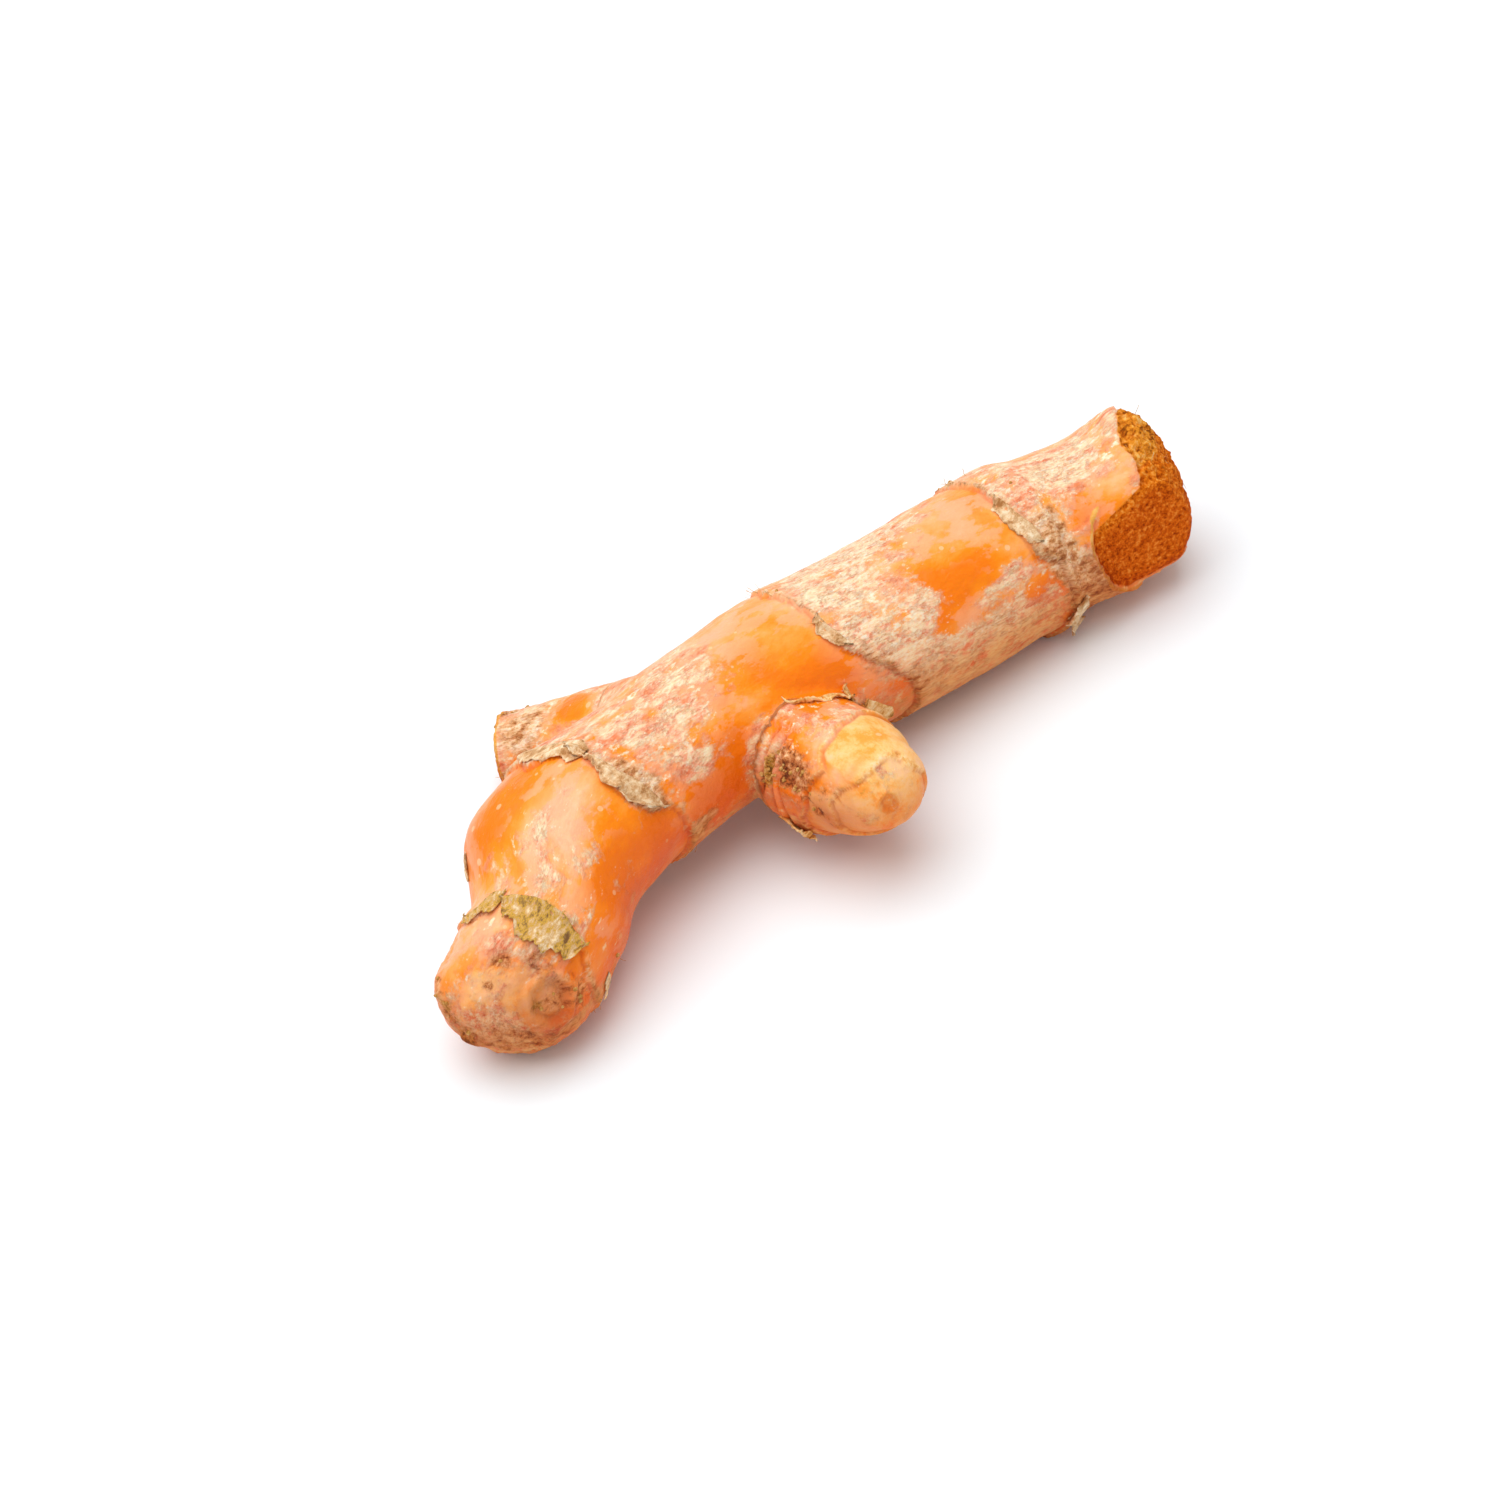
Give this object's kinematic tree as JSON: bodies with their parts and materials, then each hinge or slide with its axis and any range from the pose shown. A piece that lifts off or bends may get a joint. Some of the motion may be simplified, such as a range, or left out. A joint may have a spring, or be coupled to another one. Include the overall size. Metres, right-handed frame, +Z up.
{
  "type": "turmeric root",
  "caption": "Fresh turmeric finger lying on a table: a thick bent rhizome with a broken base, a rounded tip, a young side bud and a short snapped branch.",
  "frame": {"origin": "on the table plane, under the middle of the rhizome's bounding box as it lies", "axes": "+X along the finger towards its broken base, +Y towards the snapped branch, away from the side bud, +Z up"},
  "size_m": [0.0973, 0.0498, 0.0197],
  "materials": {
    "rhizome_skin": "fresh turmeric skin: thin papery cream and pink scales over orange flesh, satin, with fibrous orange-brown broken faces"
  },
  "bodies": {
    "root": {"rhizome": "rhizome_skin"}
  },
  "joints": []
}
